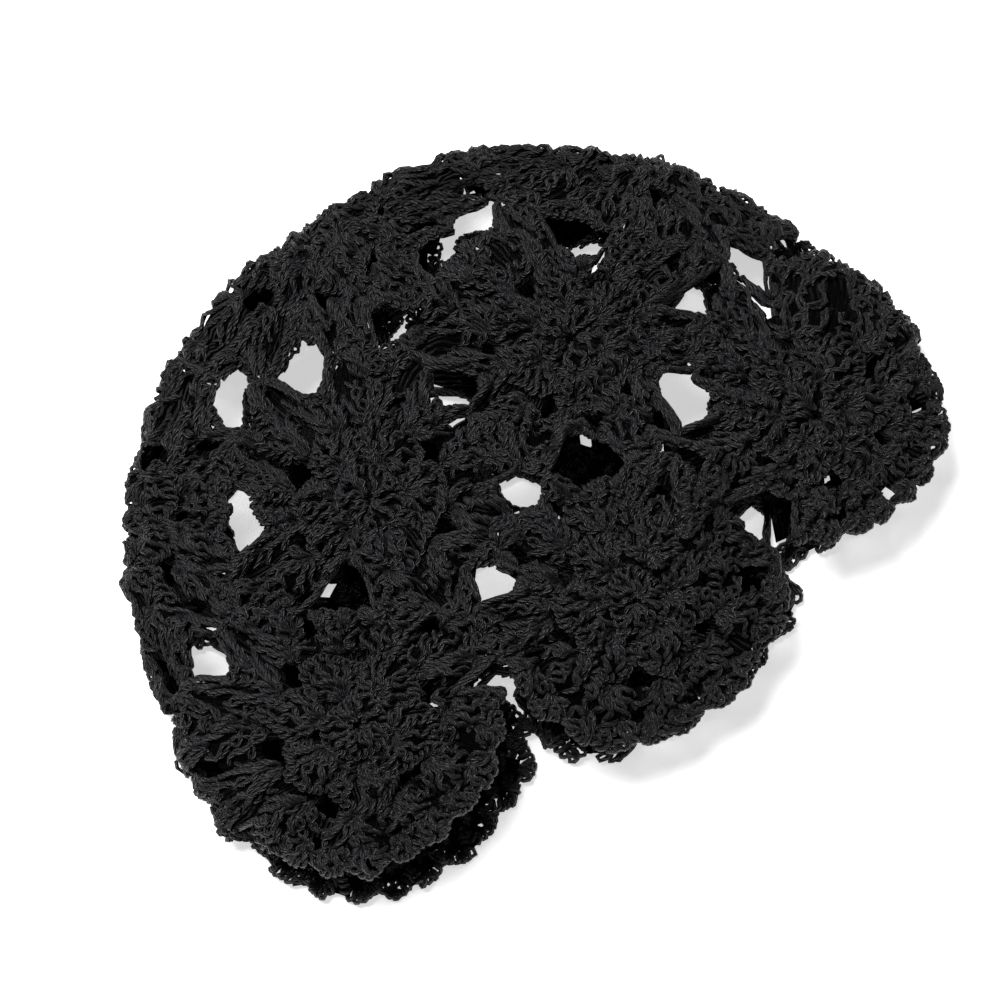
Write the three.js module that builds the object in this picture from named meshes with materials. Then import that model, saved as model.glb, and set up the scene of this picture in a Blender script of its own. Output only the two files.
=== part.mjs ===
// Crocheted beret of thirteen round flower motifs, joined edge to edge and lying on its side.
// Millimetres, +Z up. The crown points along +Y, the opening for the head faces -Y, the width runs
// along X. The lower layer lies flat at z = 0 and the upper layer is a low dome over it.

import * as THREE from 'three';

// The middle of the whole, seen from above
const MIDDLE_X = 2.63;
const MIDDLE_Y = 4.67;

// The cap's mid surface: plan outline, fold and dome. Its long axis runs along Y at AXIS_X.
const WALL = 4.5;
const AXIS_X = 3;
const HALF_WIDTH = 135;
const BRIM_FLARE = 3;
const FLARE_START_Y = 10;
const FLARE_RUN = 40;
const CROWN_REACH = 149.5;
const SIDE_LINE_Y = -38;
const OUTLINE_POWER = 2.2;
const FOLD_HEIGHT = 11.25;
const UPPER_RISE = 33;
const LOWER_TURN = 13;
const LOWER_DROP = FOLD_HEIGHT - WALL / 2;

// How the upper layer sinks towards the brim, as a share of its rise
const BRIM_DROOP = 0.8;
const BRIM_DROOP_START_Y = -38;
const BRIM_DROOP_RUN = 70;

// Slack places in the upper layer: centre, radius, and depth as a share of the rise
const HOLLOWS = [
  { place: 'between the middle and right brim motifs', x: 58, y: -66, radius: 34, depth: 0.3 },
  { place: 'between the left brim motif and its neighbours', x: -44, y: -34, radius: 26, depth: 0.12 },
  { place: 'over the lower edge of the right middle motif', x: 24, y: -22, radius: 26, depth: 0.14 },
  { place: 'beside the crown motif', x: -52, y: 62, radius: 30, depth: 0.14 },
];

// Gaps between the motifs, where their rims keep apart: middle, half length, half width, and how far
// the length is turned from X, in degrees. A lower gap lies below an upper one, so one sees through.
const GAPS = [
  { layer: 'upper', x: 44, y: 73, long: 8, wide: 6, turn: 0 },
  { layer: 'upper', x: 50, y: 86, long: 7, wide: 2.6, turn: 158 },
  { layer: 'upper', x: 26, y: 70, long: 8, wide: 4, turn: 43 },
  { layer: 'upper', x: 1, y: 64, long: 6, wide: 3.5, turn: 155 },
  { layer: 'upper', x: -30, y: 65, long: 8.5, wide: 7.5, turn: 20 },
  { layer: 'upper', x: -54, y: 71, long: 10, wide: 4.5, turn: 53 },
  { layer: 'upper', x: -75, y: 35, long: 11, wide: 4.5, turn: 62 },
  { layer: 'upper', x: -109, y: 6, long: 6, wide: 5, turn: 55 },
  { layer: 'upper', x: -62, y: -5, long: 8, wide: 6, turn: 86 },
  { layer: 'upper', x: 3, y: 28, long: 9, wide: 5, turn: 112 },
  { layer: 'upper', x: 66, y: 47, long: 10, wide: 5, turn: 116 },
  { layer: 'upper', x: 80, y: 7, long: 7, wide: 5, turn: 125 },
  { layer: 'upper', x: 106, y: 8, long: 11, wide: 4.5, turn: 90 },
  { layer: 'upper', x: 59, y: -18, long: 11, wide: 6.5, turn: 72 },
  { layer: 'upper', x: 22, y: -17, long: 11, wide: 7.5, turn: 145 },
  { layer: 'upper', x: 46, y: -33, long: 8, wide: 2.5, turn: 116 },
  { layer: 'upper', x: -1, y: -12, long: 8, wide: 6.5, turn: 140 },
  { layer: 'upper', x: -26, y: -32, long: 6, wide: 5, turn: 110 },
  { layer: 'upper', x: -45, y: -54, long: 8, wide: 3, turn: 155 },
  { layer: 'upper', x: 58, y: -59, long: 12, wide: 3, turn: 152 },
  { layer: 'lower', x: 54, y: 83, long: 8, wide: 7, turn: 0 },
  { layer: 'lower', x: -23, y: 73, long: 10, wide: 9, turn: 20 },
  { layer: 'lower', x: -51, y: 80, long: 12, wide: 6, turn: 53 },
  { layer: 'lower', x: -71, y: 43, long: 12, wide: 6, turn: 62 },
  { layer: 'lower', x: -108, y: 11, long: 7, wide: 6, turn: 0 },
  { layer: 'lower', x: 6, y: 35, long: 8, wide: 5, turn: 120 },
  { layer: 'lower', x: 89, y: 14, long: 7, wide: 6, turn: 0 },
  { layer: 'lower', x: 113, y: 13, long: 10, wide: 6, turn: 90 },
  { layer: 'lower', x: 70, y: -8, long: 12, wide: 8, turn: 72 },
  { layer: 'lower', x: -18, y: -22, long: 8, wide: 7, turn: 110 },
  { layer: 'lower', x: 75, y: 49, long: 7, wide: 5, turn: 0 },
  { layer: 'lower', x: 7, y: -3, long: 8, wide: 6, turn: 140 },
  { layer: 'lower', x: 60, y: -56, long: 6, wide: 3.5, turn: 152 },
  { layer: 'lower', x: -39, y: -51, long: 6, wide: 4, turn: 155 },
];

// One flower motif: twelve lobes round it. Each free lobe has two bumps on its rim and valleys beside it.
const LOBES = 12;
const VALLEY_SHARE = 0.83;
const LOBE_ROUNDNESS = 3;
const BUMP_NOTCH = 1.2;
const STRETCH_LIMIT = 63;
const SEAM_GAP = 0.32;
const COLUMNS_PER_LOBE = 8;
const COLUMNS = LOBES * COLUMNS_PER_LOBE;
const RINGS = [
  { share: 0.28, columns: COLUMNS / 6 },
  { share: 0.56, columns: COLUMNS / 3 },
  { share: 0.8, columns: COLUMNS / 3 },
  { share: 1, columns: COLUMNS },
];

// Motifs whose centres lie nearer than this along the fabric are joined
const JOIN_REACH = 132;

// Two seams further apart than this, seen from a motif's centre, have the open brim between them
const BRIM_SPAN = (130 * Math.PI) / 180;
const RIM_POWER = 2.2;

// Where each motif's centre lies, seen from above, before the whole is set over the origin. Those at
// the brim also have how far their free lobes reach along the fabric: left, to the opening, and right.
const MOTIFS = [
  { name: 'crown_motif', layer: 'upper', x: 0, y: 104 },
  { name: 'middle_motif_left_fold', layer: 'fold', x: -105, y: 60 },
  { name: 'middle_motif_upper_left', layer: 'upper', x: -40, y: 15 },
  { name: 'middle_motif_upper_right', layer: 'upper', x: 43, y: 19 },
  { name: 'middle_motif_right_fold', layer: 'fold', x: 105, y: 62 },
  { name: 'middle_motif_lower_right', layer: 'lower', x: 46, y: 18 },
  { name: 'middle_motif_lower_left', layer: 'lower', x: -42, y: 18 },
  { name: 'brim_motif_upper_left', layer: 'upper', x: -87, y: -41, free: [47, 44, 49] },
  { name: 'brim_motif_upper_middle', layer: 'upper', x: 6, y: -62, free: [48, 44, 54] },
  { name: 'brim_motif_upper_right', layer: 'upper', x: 91, y: -46, free: [46, 42, 48] },
  { name: 'brim_motif_lower_right', layer: 'lower', x: 93, y: -37, free: [66, 44, 49] },
  { name: 'brim_motif_lower_middle', layer: 'lower', x: 12, y: -50, free: [66, 48, 70] },
  { name: 'brim_motif_lower_left', layer: 'lower', x: -84, y: -42, free: [50, 48, 57] },
];

const YARN = { color: 0x1c1c20, roughness: 0.95, metalness: 0 };

// Numerical steps of the walk over the fabric
const STEP = 1.5;
const SLOPE_STEP = 0.01;
const SETTLE_ROUNDS = 6;
const WAY_DIRECTIONS = 180;
const WAY_CORRECTIONS = 4;
const SEAM_PRECISION = 0.01;
const SEAM_START_SHARE = 0.6;
const SEAM_SECTOR = (75 * Math.PI) / 180;

const smoothStep = (t) => {
  const s = Math.min(Math.max(t, 0), 1);
  return s * s * (3 - 2 * s);
};

// 0 on the cap's long axis, 1 on its plan outline
function outlineShare(x, y) {
  const halfWidth = HALF_WIDTH + BRIM_FLARE * smoothStep((FLARE_START_Y - y) / FLARE_RUN);
  const across = Math.abs((x - AXIS_X) / halfWidth) ** OUTLINE_POWER;
  const along = (Math.max(y - SIDE_LINE_Y, 0) / CROWN_REACH) ** OUTLINE_POWER;
  return (across + along) ** (1 / OUTLINE_POWER);
}

// How far the upper layer rises above the fold at a place on the long axis
function upperRise(x, y) {
  const down = Math.max(BRIM_DROOP_START_Y - y, 0) / BRIM_DROOP_RUN;
  let droop = Math.min(BRIM_DROOP * down * down, BRIM_DROOP);
  for (const hollow of HOLLOWS) {
    const away = Math.hypot(x - hollow.x, y - hollow.y) / hollow.radius;
    droop += (1 - droop) * hollow.depth * smoothStep(1 - away);
  }
  return UPPER_RISE * (1 - droop);
}

// Negative inside the cap's mid surface, zero on it, positive outside
function outside(p) {
  const share = outlineShare(p.x, p.y);
  if (p.z >= FOLD_HEIGHT) {
    const up = (p.z - FOLD_HEIGHT) / upperRise(p.x, p.y);
    return share * share + up * up - 1;
  }
  const turn = Math.max(1 - ((1 - share) * HALF_WIDTH) / LOWER_TURN, 0);
  const down = (FOLD_HEIGHT - p.z) / LOWER_DROP;
  return turn * turn + down * down - 1;
}

function slope(p) {
  const result = new THREE.Vector3();
  for (const axis of ['x', 'y', 'z']) {
    const ahead = p.clone();
    const behind = p.clone();
    ahead[axis] += SLOPE_STEP;
    behind[axis] -= SLOPE_STEP;
    result[axis] = (outside(ahead) - outside(behind)) / (2 * SLOPE_STEP);
  }
  return result;
}

const facing = (p) => slope(p).normalize();

// Moves a point near the mid surface onto it
function settle(p) {
  const result = p.clone();
  for (let round = 0; round < SETTLE_ROUNDS; round += 1) {
    const steep = slope(result);
    result.addScaledVector(steep, -outside(result) / steep.lengthSq());
  }
  return result;
}

// Walks straight over the fabric from a point, and returns the place and heading at every step
function walk(start, heading, length) {
  const way = [{ place: start.clone(), heading: heading.clone() }];
  const steps = Math.ceil(length / STEP);
  for (let step = 0; step < steps; step += 1) {
    const last = way[step];
    const place = settle(last.place.clone().addScaledVector(last.heading, STEP));
    const outward = facing(place);
    const turned = last.heading.clone();
    turned.addScaledVector(outward, -turned.dot(outward)).normalize();
    way.push({ place, heading: turned });
  }
  return way;
}

// The place and heading at a distance along a way
function along(way, distance) {
  const step = Math.min(Math.floor(distance / STEP), way.length - 2);
  const part = distance / STEP - step;
  const place = way[step].place.clone().lerp(way[step + 1].place, part);
  const heading = way[step].heading.clone().lerp(way[step + 1].heading, part).normalize();
  return { place, heading };
}

function centreOf(row) {
  if (row.layer === 'fold') {
    const share = outlineShare(row.x, row.y);
    const y = SIDE_LINE_Y + (row.y - SIDE_LINE_Y) / share;
    return settle(new THREE.Vector3(row.x / share, y, FOLD_HEIGHT));
  }
  if (row.layer === 'lower') {
    return settle(new THREE.Vector3(row.x, row.y, FOLD_HEIGHT - LOWER_DROP));
  }
  const share = outlineShare(row.x, row.y);
  const z = FOLD_HEIGHT + upperRise(row.x, row.y) * Math.sqrt(1 - share * share);
  return settle(new THREE.Vector3(row.x, row.y, z));
}

// A motif's centre with two directions in the fabric, east and north, as seen from outside
function placeMotif(row) {
  const centre = centreOf(row);
  const outward = facing(centre);
  const crownward = new THREE.Vector3(0, 1, 0);
  const upward = new THREE.Vector3(0, 0, 1);
  const guide = Math.abs(outward.y) < 0.8 ? crownward : upward;
  const north = guide.addScaledVector(outward, -guide.dot(outward)).normalize();
  const east = north.clone().cross(outward);
  return { name: row.name, free: row.free, centre, east, north, seams: [] };
}

function headingAt(motif, angle) {
  const heading = motif.east.clone().multiplyScalar(Math.cos(angle));
  return heading.addScaledVector(motif.north, Math.sin(angle));
}

function angleOf(motif, heading) {
  return Math.atan2(heading.dot(motif.north), heading.dot(motif.east));
}

// The step of a way that comes nearest to a point
function nearestStep(way, point) {
  let best = 0;
  way.forEach((stop, step) => {
    if (stop.place.distanceTo(point) < way[best].place.distanceTo(point)) best = step;
  });
  return best;
}

// The straight way over the fabric from one motif's centre to another's: its angle and length
function wayBetween(from, fans, to) {
  let best = { miss: Infinity };
  for (const fan of fans) {
    const step = nearestStep(fan.way, to.centre);
    const miss = fan.way[step].place.distanceTo(to.centre);
    if (miss < best.miss) best = { miss, angle: fan.angle };
  }
  let angle = best.angle;
  let length = 0;
  let way = [];
  for (let round = 0; round < WAY_CORRECTIONS; round += 1) {
    way = walk(from.centre, headingAt(from, angle), JOIN_REACH + STEP);
    const stop = way[nearestStep(way, to.centre)];
    const rest = to.centre.clone().sub(stop.place);
    const sideways = facing(stop.place).cross(stop.heading);
    length = way.indexOf(stop) * STEP + rest.dot(stop.heading);
    angle += rest.dot(sideways) / length;
  }
  return { angle, length, way, miss: best.miss };
}

// Joins two motifs at a seam: a plane across the way between them, half way along
function joinMotifs(motifs) {
  motifs.forEach((from, index) => {
    const fans = [];
    for (let turn = 0; turn < WAY_DIRECTIONS; turn += 1) {
      const angle = (turn / WAY_DIRECTIONS) * 2 * Math.PI;
      fans.push({ angle, way: walk(from.centre, headingAt(from, angle), JOIN_REACH) });
    }
    for (const to of motifs.slice(index + 1)) {
      const found = wayBetween(from, fans, to);
      const closeEnough = found.miss < 5 && found.length < JOIN_REACH;
      if (closeEnough) {
        const middle = along(found.way, found.length / 2);
        const arrival = along(found.way, found.length).heading;
        const backwards = arrival.clone().negate();
        const flip = middle.heading.clone().negate();
        const seam = { place: middle.place, away: found.length / 2 };
        from.seams.push({ ...seam, angle: found.angle, across: middle.heading });
        to.seams.push({ ...seam, angle: angleOf(to, backwards), across: flip });
      }
    }
    from.seams.sort((a, b) => wrap(a.angle) - wrap(b.angle));
  });
}

const wrap = (angle) => ((angle % (2 * Math.PI)) + 2 * Math.PI) % (2 * Math.PI);

// Shares the lobes out between the seams: at least two from one seam to the next
function shareLobes(spans) {
  const counts = spans.map((span) => Math.max(2, Math.floor((span / (2 * Math.PI)) * LOBES)));
  const wanted = (index) => (spans[index] / (2 * Math.PI)) * LOBES - counts[index];
  const order = spans.map((span, index) => index);
  const total = () => counts.reduce((sum, count) => sum + count, 0);
  while (total() < LOBES) {
    order.sort((a, b) => wanted(b) - wanted(a));
    counts[order[0]] += 1;
  }
  while (total() > LOBES) {
    order.sort((a, b) => wanted(a) - wanted(b));
    counts[order.find((index) => counts[index] > 2)] -= 1;
  }
  return counts;
}

// The angle and half width of each lobe, laid so that a seam falls between two lobes, and whether it
// lies at the open brim
function lobesOf(motif) {
  const angles = motif.seams.map((seam) => wrap(seam.angle));
  const spans = angles.map((angle, index) => wrap(angles[(index + 1) % angles.length] - angle));
  const counts = shareLobes(spans);
  const lobes = [];
  angles.forEach((angle, index) => {
    const half = spans[index] / counts[index] / 2;
    for (let lobe = 0; lobe < counts[index]; lobe += 1) {
      lobes.push({ angle: angle + (2 * lobe + 1) * half, half, atBrim: spans[index] > BRIM_SPAN });
    }
  });
  return lobes;
}

// Whether a place of the mid surface lies in a gap between motifs
function inGap(place) {
  const layer = place.z > FOLD_HEIGHT ? 'upper' : 'lower';
  return GAPS.some((gap) => {
    const turn = (gap.turn * Math.PI) / 180;
    const x = place.x - gap.x;
    const y = place.y - gap.y;
    const lengthwise = (x * Math.cos(turn) + y * Math.sin(turn)) / gap.long;
    const crosswise = (y * Math.cos(turn) - x * Math.sin(turn)) / gap.wide;
    return gap.layer === layer && Math.hypot(lengthwise, crosswise) < 1;
  });
}

// Whether the wall round a stop on a way has come to a seam
function meetsSeam(stop, distance, seam) {
  const tilt = Math.abs(facing(stop.place).dot(seam.across)) * (WALL / 2);
  const past = stop.place.clone().sub(seam.place).dot(seam.across) + tilt;
  return distance > SEAM_START_SHARE * seam.away && past > -SEAM_GAP / 2;
}

// How far a way from a motif's centre runs before it meets a gap, or a seam on its side of the motif
function reachToEnd(way, angle, seams) {
  const ahead = seams.filter((seam) => Math.cos(seam.angle - angle) > Math.cos(SEAM_SECTOR));
  const ends = (distance) => {
    const stop = along(way, distance);
    return inGap(stop.place) || ahead.some((seam) => meetsSeam(stop, distance, seam));
  };
  let far = STEP;
  while (far < STRETCH_LIMIT && !ends(far)) far += STEP;
  if (!ends(far)) return STRETCH_LIMIT;
  let near = far - STEP;
  while (far - near > SEAM_PRECISION) {
    const middle = (near + far) / 2;
    if (ends(middle)) far = middle;
    else near = middle;
  }
  return near;
}

// How far a free lobe's tip would reach along a way
function freeReach(free, way) {
  const [left, opening, right] = free;
  const { x, y } = way[0].heading;
  const across = Math.abs(x / (x < 0 ? left : right)) ** RIM_POWER;
  const towards = Math.abs(y / opening) ** RIM_POWER;
  return (across + towards) ** (-1 / RIM_POWER);
}

// Rim radius at a place across a free lobe, from -1 at one valley to 1 at the next
function scallop(place, tip) {
  const notch = BUMP_NOTCH * (0.5 + 0.5 * Math.cos(2 * Math.PI * place));
  const valley = (1 - VALLEY_SHARE) * tip - BUMP_NOTCH;
  return tip - notch - valley * Math.abs(place) ** LOBE_ROUNDNESS;
}

// The ways out to the rim, a few for each lobe, each with the distance at which the rim lies
function columnsOf(motif) {
  const columns = [];
  for (const lobe of lobesOf(motif)) {
    for (let column = 0; column < COLUMNS_PER_LOBE; column += 1) {
      const place = (2 * column) / COLUMNS_PER_LOBE - 1;
      const angle = lobe.angle + place * lobe.half;
      const way = walk(motif.centre, headingAt(motif, angle), STRETCH_LIMIT);
      const end = reachToEnd(way, angle, motif.seams);
      const reach = lobe.atBrim ? Math.min(end, scallop(place, freeReach(motif.free, way))) : end;
      columns.push({ way, reach });
    }
  }
  return columns;
}

// Triangles between an inner ring and an outer one with a whole number of times as many points
function ringBand(inner, outer) {
  const times = outer.length / inner.length;
  const faces = [];
  inner.forEach((point, index) => {
    const next = inner[(index + 1) % inner.length];
    for (let step = 0; step < times; step += 1) {
      const corner = step < times / 2 ? point : next;
      const from = outer[index * times + step];
      const to = outer[(index * times + step + 1) % outer.length];
      faces.push([corner, from, to]);
      if (step === Math.ceil(times / 2) - 1) faces.push([point, to, next]);
    }
  });
  return faces;
}

// The closed solid of one motif: two faces a wall apart, and a scalloped rim between them
function motifGeometry(motif) {
  const positions = [];
  const addPair = (place) => {
    const outward = facing(place);
    const outer = place.clone().addScaledVector(outward, WALL / 2);
    const inner = place.clone().addScaledVector(outward, -WALL / 2);
    positions.push(outer.x, outer.y, outer.z, inner.x, inner.y, inner.z);
    return positions.length / 3 - 2;
  };
  const hub = addPair(motif.centre);
  const columns = columnsOf(motif);
  const rings = RINGS.map((ring) => {
    const skip = COLUMNS / ring.columns;
    const used = columns.filter((column, index) => index % skip === 0);
    return used.map((column) => addPair(settle(along(column.way, column.reach * ring.share).place)));
  });

  const faces = rings[0].map((point, index) => [hub, point, rings[0][(index + 1) % rings[0].length]]);
  for (let ring = 1; ring < rings.length; ring += 1) {
    faces.push(...ringBand(rings[ring - 1], rings[ring]));
  }
  const indices = [];
  for (const [a, b, c] of faces) indices.push(a, b, c, a + 1, c + 1, b + 1);
  const rim = rings[rings.length - 1];
  rim.forEach((a, index) => {
    const b = rim[(index + 1) % rim.length];
    indices.push(a, a + 1, b + 1, a, b + 1, b);
  });

  const geometry = new THREE.BufferGeometry();
  geometry.setAttribute('position', new THREE.Float32BufferAttribute(positions, 3));
  geometry.setIndex(indices);
  geometry.computeVertexNormals();
  return geometry;
}

const beret = new THREE.Group();
beret.position.set(-MIDDLE_X, -MIDDLE_Y, 0);

const motifs = MOTIFS.map(placeMotif);
joinMotifs(motifs);
for (const motif of motifs) {
  const mesh = new THREE.Mesh(motifGeometry(motif), new THREE.MeshStandardMaterial(YARN));
  mesh.name = motif.name;
  beret.add(mesh);
}

export default beret;
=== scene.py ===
"""A crocheted beret of thirteen round flower motifs, worked stitch by stitch in black cotton yarn.

The fabric's shape, the motifs' places and the rule for their seams are those of the solid model, in
millimetres, and the meshes are made in metres. The stitches of each motif are laid out flat, then carried
onto the motif's fabric.
"""
import math

import bpy
import numpy as np
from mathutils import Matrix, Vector
from mathutils.kdtree import KDTree


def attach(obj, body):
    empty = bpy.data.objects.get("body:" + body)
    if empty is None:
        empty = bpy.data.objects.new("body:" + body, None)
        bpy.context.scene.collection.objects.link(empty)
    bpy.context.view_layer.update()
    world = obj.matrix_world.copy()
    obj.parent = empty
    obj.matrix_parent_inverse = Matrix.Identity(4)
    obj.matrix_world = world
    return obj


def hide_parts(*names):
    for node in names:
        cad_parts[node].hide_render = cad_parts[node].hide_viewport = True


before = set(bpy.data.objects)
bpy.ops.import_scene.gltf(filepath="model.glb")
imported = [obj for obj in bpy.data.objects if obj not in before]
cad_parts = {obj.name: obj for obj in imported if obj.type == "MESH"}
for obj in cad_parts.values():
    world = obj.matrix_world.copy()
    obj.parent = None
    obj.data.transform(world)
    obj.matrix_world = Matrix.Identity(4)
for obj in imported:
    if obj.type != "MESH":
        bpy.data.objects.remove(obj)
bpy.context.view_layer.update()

MM = 0.001

# The camera, from the photograph's viewing angle
CAMERA_AZIMUTH = math.radians(-37)
CAMERA_ELEVATION = math.radians(72)
CAMERA_DISTANCE = 0.9083
CAMERA_LENS = 100
CAMERA_AIM = Vector((-0.0026, -0.0047, 0))

# The beret's mid surface: plan outline, fold and dome
WALL = 4.5
MIDDLE_X = 2.63
MIDDLE_Y = 4.67
AXIS_X = 3
HALF_WIDTH = 135
BRIM_FLARE = 3
FLARE_START_Y = 10
FLARE_RUN = 40
CROWN_REACH = 149.5
SIDE_LINE_Y = -38
OUTLINE_POWER = 2.2
FOLD_HEIGHT = 11.25
UPPER_RISE = 33
LOWER_TURN = 13
LOWER_DROP = FOLD_HEIGHT - WALL / 2
BRIM_DROOP = 0.8
BRIM_DROOP_START_Y = -38
BRIM_DROOP_RUN = 70

# Slack places in the upper layer: centre, radius, and depth as a share of the rise
HOLLOWS = [
    {"x": 58, "y": -66, "radius": 34, "depth": 0.3},
    {"x": -44, "y": -34, "radius": 26, "depth": 0.12},
    {"x": 24, "y": -22, "radius": 26, "depth": 0.14},
    {"x": -52, "y": 62, "radius": 30, "depth": 0.14},
]

# Gaps between the motifs, where their rims keep apart: middle, half length, half width, and how far the
# length is turned from X, in degrees. A lower gap lies where the floor shows through an upper one.
GAPS = [
    {"layer": "upper", "x": 44, "y": 73, "long": 8, "wide": 6, "turn": 0},
    {"layer": "upper", "x": 50, "y": 86, "long": 7, "wide": 2.6, "turn": 158},
    {"layer": "upper", "x": 26, "y": 70, "long": 8, "wide": 4, "turn": 43},
    {"layer": "upper", "x": 1, "y": 64, "long": 6, "wide": 3.5, "turn": 155},
    {"layer": "upper", "x": -30, "y": 65, "long": 8.5, "wide": 7.5, "turn": 20},
    {"layer": "upper", "x": -54, "y": 71, "long": 10, "wide": 4.5, "turn": 53},
    {"layer": "upper", "x": -75, "y": 35, "long": 11, "wide": 4.5, "turn": 62},
    {"layer": "upper", "x": -109, "y": 6, "long": 6, "wide": 5, "turn": 55},
    {"layer": "upper", "x": -62, "y": -5, "long": 8, "wide": 6, "turn": 86},
    {"layer": "upper", "x": 3, "y": 28, "long": 9, "wide": 5, "turn": 112},
    {"layer": "upper", "x": 66, "y": 47, "long": 10, "wide": 5, "turn": 116},
    {"layer": "upper", "x": 80, "y": 7, "long": 7, "wide": 5, "turn": 125},
    {"layer": "upper", "x": 106, "y": 8, "long": 11, "wide": 4.5, "turn": 90},
    {"layer": "upper", "x": 59, "y": -18, "long": 11, "wide": 6.5, "turn": 72},
    {"layer": "upper", "x": 22, "y": -17, "long": 11, "wide": 7.5, "turn": 145},
    {"layer": "upper", "x": 46, "y": -33, "long": 8, "wide": 2.5, "turn": 116},
    {"layer": "upper", "x": -1, "y": -12, "long": 8, "wide": 6.5, "turn": 140},
    {"layer": "upper", "x": -26, "y": -32, "long": 6, "wide": 5, "turn": 110},
    {"layer": "upper", "x": -45, "y": -54, "long": 8, "wide": 3, "turn": 155},
    {"layer": "upper", "x": 58, "y": -59, "long": 12, "wide": 3, "turn": 152},
    {"layer": "lower", "x": 54, "y": 83, "long": 8, "wide": 7, "turn": 0},
    {"layer": "lower", "x": -23, "y": 73, "long": 10, "wide": 9, "turn": 20},
    {"layer": "lower", "x": -51, "y": 80, "long": 12, "wide": 6, "turn": 53},
    {"layer": "lower", "x": -71, "y": 43, "long": 12, "wide": 6, "turn": 62},
    {"layer": "lower", "x": -108, "y": 11, "long": 7, "wide": 6, "turn": 0},
    {"layer": "lower", "x": 6, "y": 35, "long": 8, "wide": 5, "turn": 120},
    {"layer": "lower", "x": 89, "y": 14, "long": 7, "wide": 6, "turn": 0},
    {"layer": "lower", "x": 113, "y": 13, "long": 10, "wide": 6, "turn": 90},
    {"layer": "lower", "x": 70, "y": -8, "long": 12, "wide": 8, "turn": 72},
    {"layer": "lower", "x": -18, "y": -22, "long": 8, "wide": 7, "turn": 110},
    {"layer": "lower", "x": 75, "y": 49, "long": 7, "wide": 5, "turn": 0},
    {"layer": "lower", "x": 7, "y": -3, "long": 8, "wide": 6, "turn": 140},
    {"layer": "lower", "x": 60, "y": -56, "long": 6, "wide": 3.5, "turn": 152},
    {"layer": "lower", "x": -39, "y": -51, "long": 6, "wide": 4, "turn": 155},
]

# Where each motif's centre lies, and for those at the brim how far their free lobes reach: to the left, to
# the opening, and to the right
MOTIFS = [
    {"name": "crown_motif", "layer": "upper", "x": 0, "y": 104},
    {"name": "middle_motif_left_fold", "layer": "fold", "x": -105, "y": 60},
    {"name": "middle_motif_upper_left", "layer": "upper", "x": -40, "y": 15},
    {"name": "middle_motif_upper_right", "layer": "upper", "x": 43, "y": 19},
    {"name": "middle_motif_right_fold", "layer": "fold", "x": 105, "y": 62},
    {"name": "middle_motif_lower_right", "layer": "lower", "x": 46, "y": 18},
    {"name": "middle_motif_lower_left", "layer": "lower", "x": -42, "y": 18},
    {"name": "brim_motif_upper_left", "layer": "upper", "x": -87, "y": -41, "free": (47, 44, 49)},
    {"name": "brim_motif_upper_middle", "layer": "upper", "x": 6, "y": -62, "free": (48, 44, 54)},
    {"name": "brim_motif_upper_right", "layer": "upper", "x": 91, "y": -46, "free": (46, 42, 48)},
    {"name": "brim_motif_lower_right", "layer": "lower", "x": 93, "y": -37, "free": (66, 44, 49)},
    {"name": "brim_motif_lower_middle", "layer": "lower", "x": 12, "y": -50, "free": (66, 48, 70)},
    {"name": "brim_motif_lower_left", "layer": "lower", "x": -84, "y": -42, "free": (50, 48, 57)},
]
RIM_POWER = 2.2

# The rule for lobes and seams. A motif is stretched or drawn in to fit its seams, the more the further out,
# from the stretch start on. Its strands run past a seam by an overlap that ripples along it, and past the
# rim by the overshoot, and stop softly within the soft edge.
LOBES = 12
FEWEST_LOBES = 2
FLAT_REACH = 46
STRETCH_LIMIT = 63
STRETCH_START = 12
STRETCH_RUN = 30
SEAM_PRESS = 3
SEAM_OVERLAP = 1
OVERLAP_RIPPLE = 1.6
OVERLAP_WAVES = 50
OVERLAP_WAVE_SETS = 3
RIM_OVERSHOOT = 1.2
SOFT_EDGE = 2.5
SEAM_GAP = 0.32
JOIN_REACH = 132
SEAM_START_SHARE = 0.6
SEAM_SECTOR = math.radians(75)
BRIM_SPAN = math.radians(130)
VALLEY_DEPTH = 6.5
SCALLOP_SHARE = 0.13
LOBE_ROUNDNESS = 3
RIM_SMOOTHING = 2

# The walk over the fabric from each motif's centre. A way that passes a neighbour's centre within the miss
# may cross a seam.
STEP = 1.5
DIRECTIONS = 360
STEPS = math.ceil(JOIN_REACH / STEP) + 1
SLOPE_STEP = 0.01
SETTLE_ROUNDS = 3
SEAM_MISS = 5

# Above this share of Y in a motif's outward normal, its north is found from Z instead of Y
MOST_Y_FOR_NORTH = 0.8

# Yarn as tubes: its radius, the sides of a tube, its plies, the length of one turn of them, and the tone of
# the darkest strand, where the lightest has 1
YARN_RADIUS = 0.74
TUBE_SIDES = 4
PLIES = 4
PLY_TURN = 10
DARKEST_STRAND = 0.1

# A thin sheet inside each motif closes the pinholes between its strands. Its colour is painted shade: it is
# darker than any strand and has no gloss, standing for the shade between them. It lies below the strands'
# mean height, keeps a margin from the rim, and has holes where no strand runs within reach. Its ribs are the
# plies' bump.
SHEET_RINGS = 26
SHEET_DIRECTIONS = 80
SHEET_PITCH = 1.7
SHEET_SINK = 0.8
SHEET_REACH = {"upper": 1.7, "fold": 2.1, "lower": 2.6}
SHEET_MARGIN = 2
SHEET_RIBS = 150
# The sheet's tone, below the darkest strand's: painted shade between the strands
SHEET_SHADE_TONE = 0.04

# Each strand's own wobble: lengths, amplitude and number of its waves
SHORTEST_WOBBLE = 3
LONGEST_WOBBLE = 7
WOBBLE = 0.27
WOBBLE_WAVES = 2

# Unevenness of hand work: bends of the fabric's plan and height, as waves of these lengths
WAVES = 7
SHORTEST_WAVE = 9
LONGEST_WAVE = 26
SIDE_WAVE = 0.6
HEIGHT_WAVE = 0.7

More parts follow.
